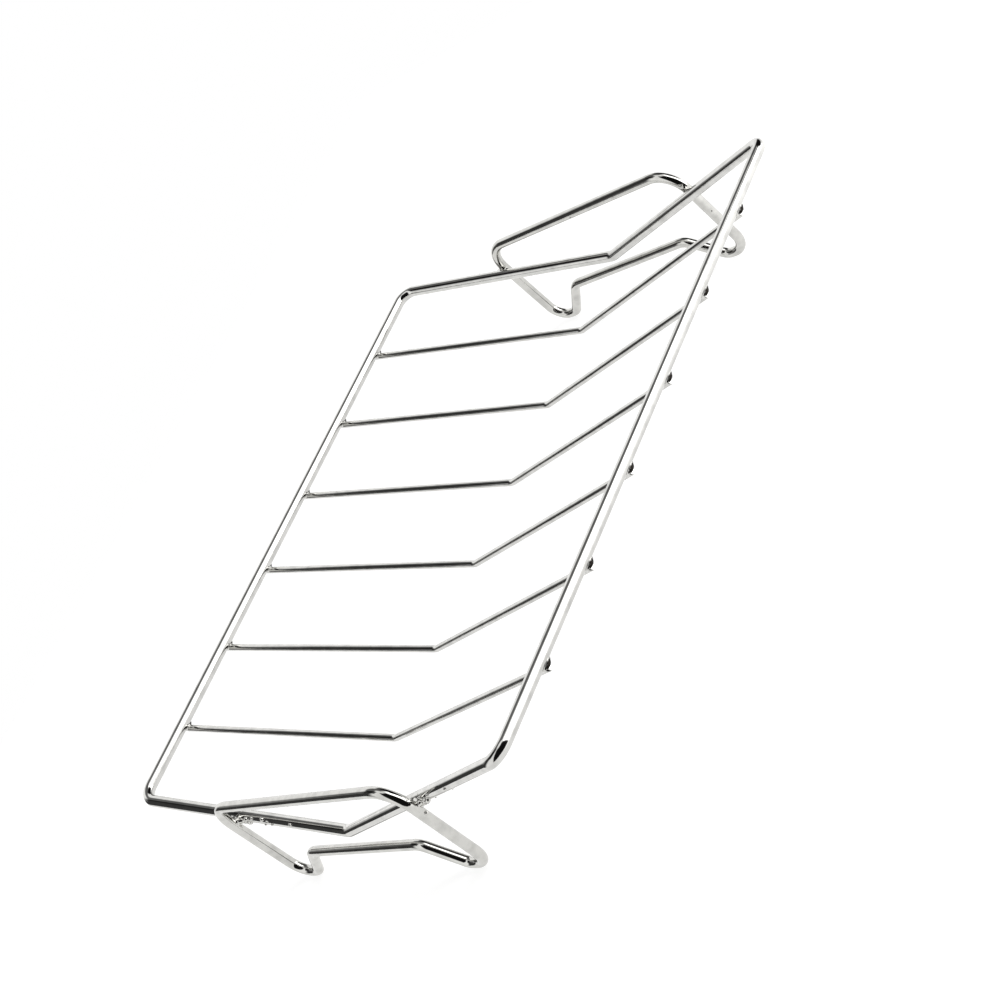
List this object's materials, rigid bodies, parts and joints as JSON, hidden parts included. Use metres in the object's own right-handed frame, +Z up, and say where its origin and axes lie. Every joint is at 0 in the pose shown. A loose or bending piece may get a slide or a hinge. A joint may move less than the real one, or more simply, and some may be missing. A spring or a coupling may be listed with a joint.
{
  "type": "roasting rack",
  "caption": "Chrome wire roasting rack: V-shaped rungs welded under a bent wire frame, carried by a closed wire loop at each end that is both handle and feet.",
  "frame": {"origin": "middle of the rack's footprint, on the surface that its feet stand on", "axes": "+X along the rails towards the rear loop, +Y across the rack, +Z up"},
  "size_m": [0.379, 0.319, 0.0712],
  "materials": {
    "frame_chrome": "polished",
    "rung_chrome": "polished",
    "loop_chrome": "polished"
  },
  "bodies": {
    "root": {"frame_wire": "frame_chrome", "rung_1": "rung_chrome", "rung_2": "rung_chrome", "rung_3": "rung_chrome", "rung_4": "rung_chrome", "rung_5": "rung_chrome", "rung_6": "rung_chrome", "end_loop_front": "loop_chrome", "end_loop_rear": "loop_chrome"}
  },
  "joints": []
}
